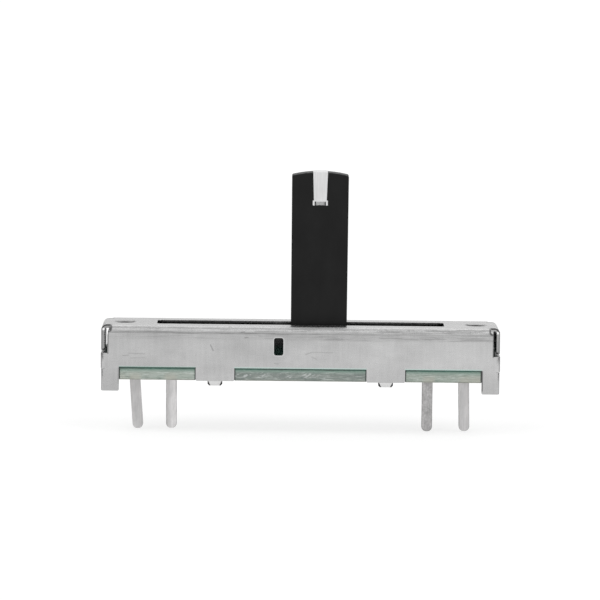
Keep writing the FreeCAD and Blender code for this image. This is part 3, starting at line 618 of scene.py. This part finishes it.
def split_sides(bm, edge_y):
    """Cuts the board's long side faces into a fine grid."""
    spacing = 0.07
    alike = 0.02
    upright_cuts = 13
    straight = 1e-6

    def on_side(edge):
        return all(abs(vert.co.y) > edge_y for vert in edge.verts)

    long_edges = [e for e in bm.edges if on_side(e) and abs(e.verts[0].co.z - e.verts[1].co.z) < straight]
    for length in sorted({round(e.calc_length() / MM, 2) for e in long_edges}):
        same = [e for e in long_edges if e.is_valid and abs(e.calc_length() / MM - length) < alike]
        bmesh.ops.subdivide_edges(bm, edges=same, cuts=int(length / spacing), use_grid_fill=True)
    upright = [e for e in bm.edges if on_side(e) and abs(e.verts[0].co.x - e.verts[1].co.x) < straight]
    bmesh.ops.subdivide_edges(bm, edges=upright, cuts=upright_cuts, use_grid_fill=True)


def frayed_board():
    """The laminate board with fibres torn along its punched edges."""
    bm = bmesh.new()
    bm.from_mesh(nodes["element_board"].data)
    bmesh.ops.remove_doubles(bm, verts=bm.verts, dist=1e-7)
    bmesh.ops.dissolve_limit(bm, angle_limit=0.01, verts=bm.verts, edges=bm.edges)
    edge_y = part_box("element_board")[1].y - 1e-6
    split_sides(bm, edge_y)
    deepest = 0.05
    for vert in bm.verts:
        if abs(vert.co.y) <= edge_y:
            continue
        x, y, z = vert.co / MM
        fibre = noise.fractal(Vector((x * 2.2, y, z * 9.0)), 0.7, 2.1, 5)
        chip = max(0.0, noise.noise(Vector((x * 1.3, y * 5.0, z * 1.5))) - 0.25)
        inwards = min(deepest, max(0.0, 0.018 + 0.022 * fibre + 0.08 * chip))
        vert.co.y -= math.copysign(inwards * MM, vert.co.y)
    mesh = bpy.data.meshes.new("board_laminate")
    bm.to_mesh(mesh)
    bm.free()
    board = mesh_object("board_laminate", mesh)
    mesh.materials.clear()
    mesh.materials.append(looks["laminate"])
    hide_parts("element_board")
    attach(board, "housing")


def burr_span(way_x, way_y, share):
    """Where a burr starts and ends along X, past the cut's inner end, at a share of the way down."""
    in_sheet = -0.06
    if way_x < 0:
        return in_sheet + 0.28 * min(1.0, share * 1.6), 0.12 + 0.20 * share ** 0.7
    if way_y < 0:
        return in_sheet, 0.25
    # The rear right one is wide, so that no light shows through the front right cut
    return in_sheet, 0.32 + 0.33 * share ** 0.5


def bend_y(z, radius):
    """How far out a skin of the long bend is at a height; below the bend it is the wall's."""
    rise = max(0.0, z + BEND)
    return BEND_Y + math.sqrt(max(0.0, radius ** 2 - rise ** 2))


def relief_burrs():
    """Torn metal that narrows each corner cut and its gap, in the wall and in the wall's bend."""
    bm = bmesh.new()
    top = -0.09
    drop = 2.30
    widest_at = 0.75
    below_skin = 0.004
    steps = 34
    closer_at_top = 1.4
    for way_x in (-1, 1):
        for way_y in (-1, 1):
            rings = []
            for step in range(steps + 1):
                z = top - drop * (step / steps) ** closer_at_top
                y_outer = bend_y(z, BEND - below_skin)
                y_inner = bend_y(z, BEND - SHEET)
                torn = 0.012 * noise.noise(Vector((way_x * 3.0, way_y * 5.0, z * 7.0)))
                start, end = burr_span(way_x, way_y, min(1.0, (top - z) / widest_at))
                start, end = RELIEF_X + start, RELIEF_X + end + torn
                ring = ((start, y_outer), (end, y_outer), (end, y_inner), (start, y_inner))
                rings.append([bm.verts.new(Vector((way_x * x, way_y * y, z)) * MM) for x, y in ring])
            for one, two in zip(rings, rings[1:]):
                for k in range(4):
                    bm.faces.new((one[k], one[(k + 1) % 4], two[(k + 1) % 4], two[k]))
            bm.faces.new(rings[0])
            bm.faces.new(rings[-1])
    bmesh.ops.recalc_face_normals(bm, faces=bm.faces)
    mesh = bpy.data.meshes.new("relief_burrs")
    bm.to_mesh(mesh)
    bm.free()
    burrs = mesh_object("relief_burrs", mesh)
    mesh.materials.append(looks["tinned_steel"])
    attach(burrs, "housing")


for name, node in nodes.items():
    for slot in node.material_slots:
        slot.material = looks[slot.material.name.split(".")[0]]
    for start, (radius, segments) in EDGE_ROUND.items():
        if name.startswith(start):
            soften(node, radius, segments)

frayed_board()
relief_burrs()


def empty_material(name):
    material = bpy.data.materials.new(name)
    material.use_nodes = True
    material.node_tree.nodes.clear()
    return material


def white_rays(tree):
    """1 for what the camera sees itself, in a metal or through glass."""
    path = tree.nodes.new("ShaderNodeLightPath")
    value = path.outputs["Is Camera Ray"]
    for name in ("Is Glossy Ray", "Is Transmission Ray"):
        either = tree.nodes.new("ShaderNodeMath")
        either.operation = "MAXIMUM"
        tree.links.new(value, either.inputs[0])
        tree.links.new(path.outputs[name], either.inputs[1])
        value = either.outputs[0]
    return value


def diffuse(tree, value):
    shader = tree.nodes.new("ShaderNodeBsdfDiffuse")
    shader.inputs["Color"].default_value = (*grey(value), 1.0)
    return shader


def make_floor():
    """A pale floor that looks white, takes the part's shadow and lights the part as plain paper does."""
    size = 3.0
    level = cad_box[0].z
    corners = [(x * size, y * size, level) for x, y in ((-1, -1), (1, -1), (1, 1), (-1, 1))]
    mesh = bpy.data.meshes.new("floor")
    mesh.from_pydata(corners, [], [(0, 1, 2, 3)])
    floor = mesh_object("floor", mesh)
    material = empty_material("floor")
    tree = material.node_tree
    seen = white_rays(tree)
    paper = diffuse(tree, 0.8)
    shaded = diffuse(tree, 0.32)
    glow = tree.nodes.new("ShaderNodeEmission")
    glow.inputs["Strength"].default_value = 0.74
    white = tree.nodes.new("ShaderNodeAddShader")
    mix = tree.nodes.new("ShaderNodeMixShader")
    output = tree.nodes.new("ShaderNodeOutputMaterial")
    tree.links.new(shaded.outputs[0], white.inputs[0])
    tree.links.new(glow.outputs[0], white.inputs[1])
    tree.links.new(seen, mix.inputs[0])
    tree.links.new(paper.outputs[0], mix.inputs[1])
    tree.links.new(white.outputs[0], mix.inputs[2])
    tree.links.new(mix.outputs[0], output.inputs["Surface"])
    mesh.materials.append(material)


def make_cards():
    """Upright grey cards at both sides, which only reflections see: they draw the edges of the metal."""
    reach, top = 0.5, 0.42
    bottom = cad_box[0].z + 0.001
    material = empty_material("card")
    tree = material.node_tree
    glow = tree.nodes.new("ShaderNodeEmission")
    glow.inputs["Color"].default_value = (*grey(0.10), 1.0)
    output = tree.nodes.new("ShaderNodeOutputMaterial")
    tree.links.new(glow.outputs[0], output.inputs["Surface"])
    for side, word in ((-1, "left"), (1, "right")):
        for number, arc in enumerate(CARD_ARCS, start=1):
            points = []
            for azimuth in arc:
                a = math.radians(azimuth) * side
                for level in (bottom, top):
                    points.append((reach * math.sin(a), -reach * math.cos(a), level))
            name = "card_%s_%d" % (word, number)
            mesh = bpy.data.meshes.new(name)
            mesh.from_pydata(points, [], [(0, 1, 3, 2)])
            mesh.materials.append(material)
            card = mesh_object(name, mesh)
            card.visible_camera = False
            card.visible_diffuse = False
            card.visible_shadow = False


def make_world():
    """A plain sky, white where it is seen and softer where it lights."""
    world = bpy.data.worlds.new("studio")
    scene.world = world
    world.use_nodes = True
    tree = world.node_tree
    tree.nodes.clear()
    seen = white_rays(tree)
    strength = tree.nodes.new("ShaderNodeMapRange")
    strength.inputs["To Min"].default_value = 0.6
    strength.inputs["To Max"].default_value = 1.0
    background = tree.nodes.new("ShaderNodeBackground")
    output = tree.nodes.new("ShaderNodeOutputWorld")
    tree.links.new(seen, strength.inputs["Value"])
    tree.links.new(strength.outputs[0], background.inputs["Strength"])
    tree.links.new(background.outputs[0], output.inputs["Surface"])


def make_lamp(name, azimuth, elevation, strength, spread=50):
    """A wide, even lamp; azimuth 0 is in front of the part and 90 at its right."""
    lamp = bpy.data.lights.new(name, "SUN")
    lamp.energy = strength
    lamp.angle = math.radians(spread)
    item = bpy.data.objects.new(name, lamp)
    a, e = math.radians(azimuth), math.radians(elevation)
    towards = Vector((math.sin(a) * math.cos(e), -math.cos(a) * math.cos(e), math.sin(e)))
    item.rotation_euler = towards.to_track_quat("Z", "Y").to_euler()
    scene.collection.objects.link(item)


def make_camera():
    """A long lens, slightly above the part, turned and tilted as the photograph is."""
    aim = Vector((-0.080, 0.0, 2.064)) * MM
    distance = 400.0 * MM
    elevation, yaw, roll = math.radians(6.136), math.radians(-0.448), math.radians(0.661)
    flat = math.cos(elevation)
    back = Vector((flat * math.sin(yaw), -flat * math.cos(yaw), math.sin(elevation)))
    right = Vector((0, 0, 1)).cross(back).normalized()
    up = back.cross(right)
    x_axis = right * math.cos(roll) + up * math.sin(roll)
    y_axis = up * math.cos(roll) - right * math.sin(roll)
    data = bpy.data.cameras.new("camera")
    data.sensor_width = 36.0
    data.lens = 271.43
    data.clip_start = 0.02
    data.clip_end = 20.0
    camera = bpy.data.objects.new("camera", data)
    matrix = Matrix((x_axis, y_axis, back)).transposed().to_4x4()
    matrix.translation = aim + back * distance
    camera.matrix_world = matrix
    scene.collection.objects.link(camera)
    scene.camera = camera


make_floor()
make_cards()
make_world()
make_lamp("lamp_left", -55, 42, 0.95)
make_lamp("lamp_right", 55, 42, 0.85)
make_lamp("lamp_back", 180, 50, 0.45)
make_camera()
scene.view_settings.view_transform = "Standard"
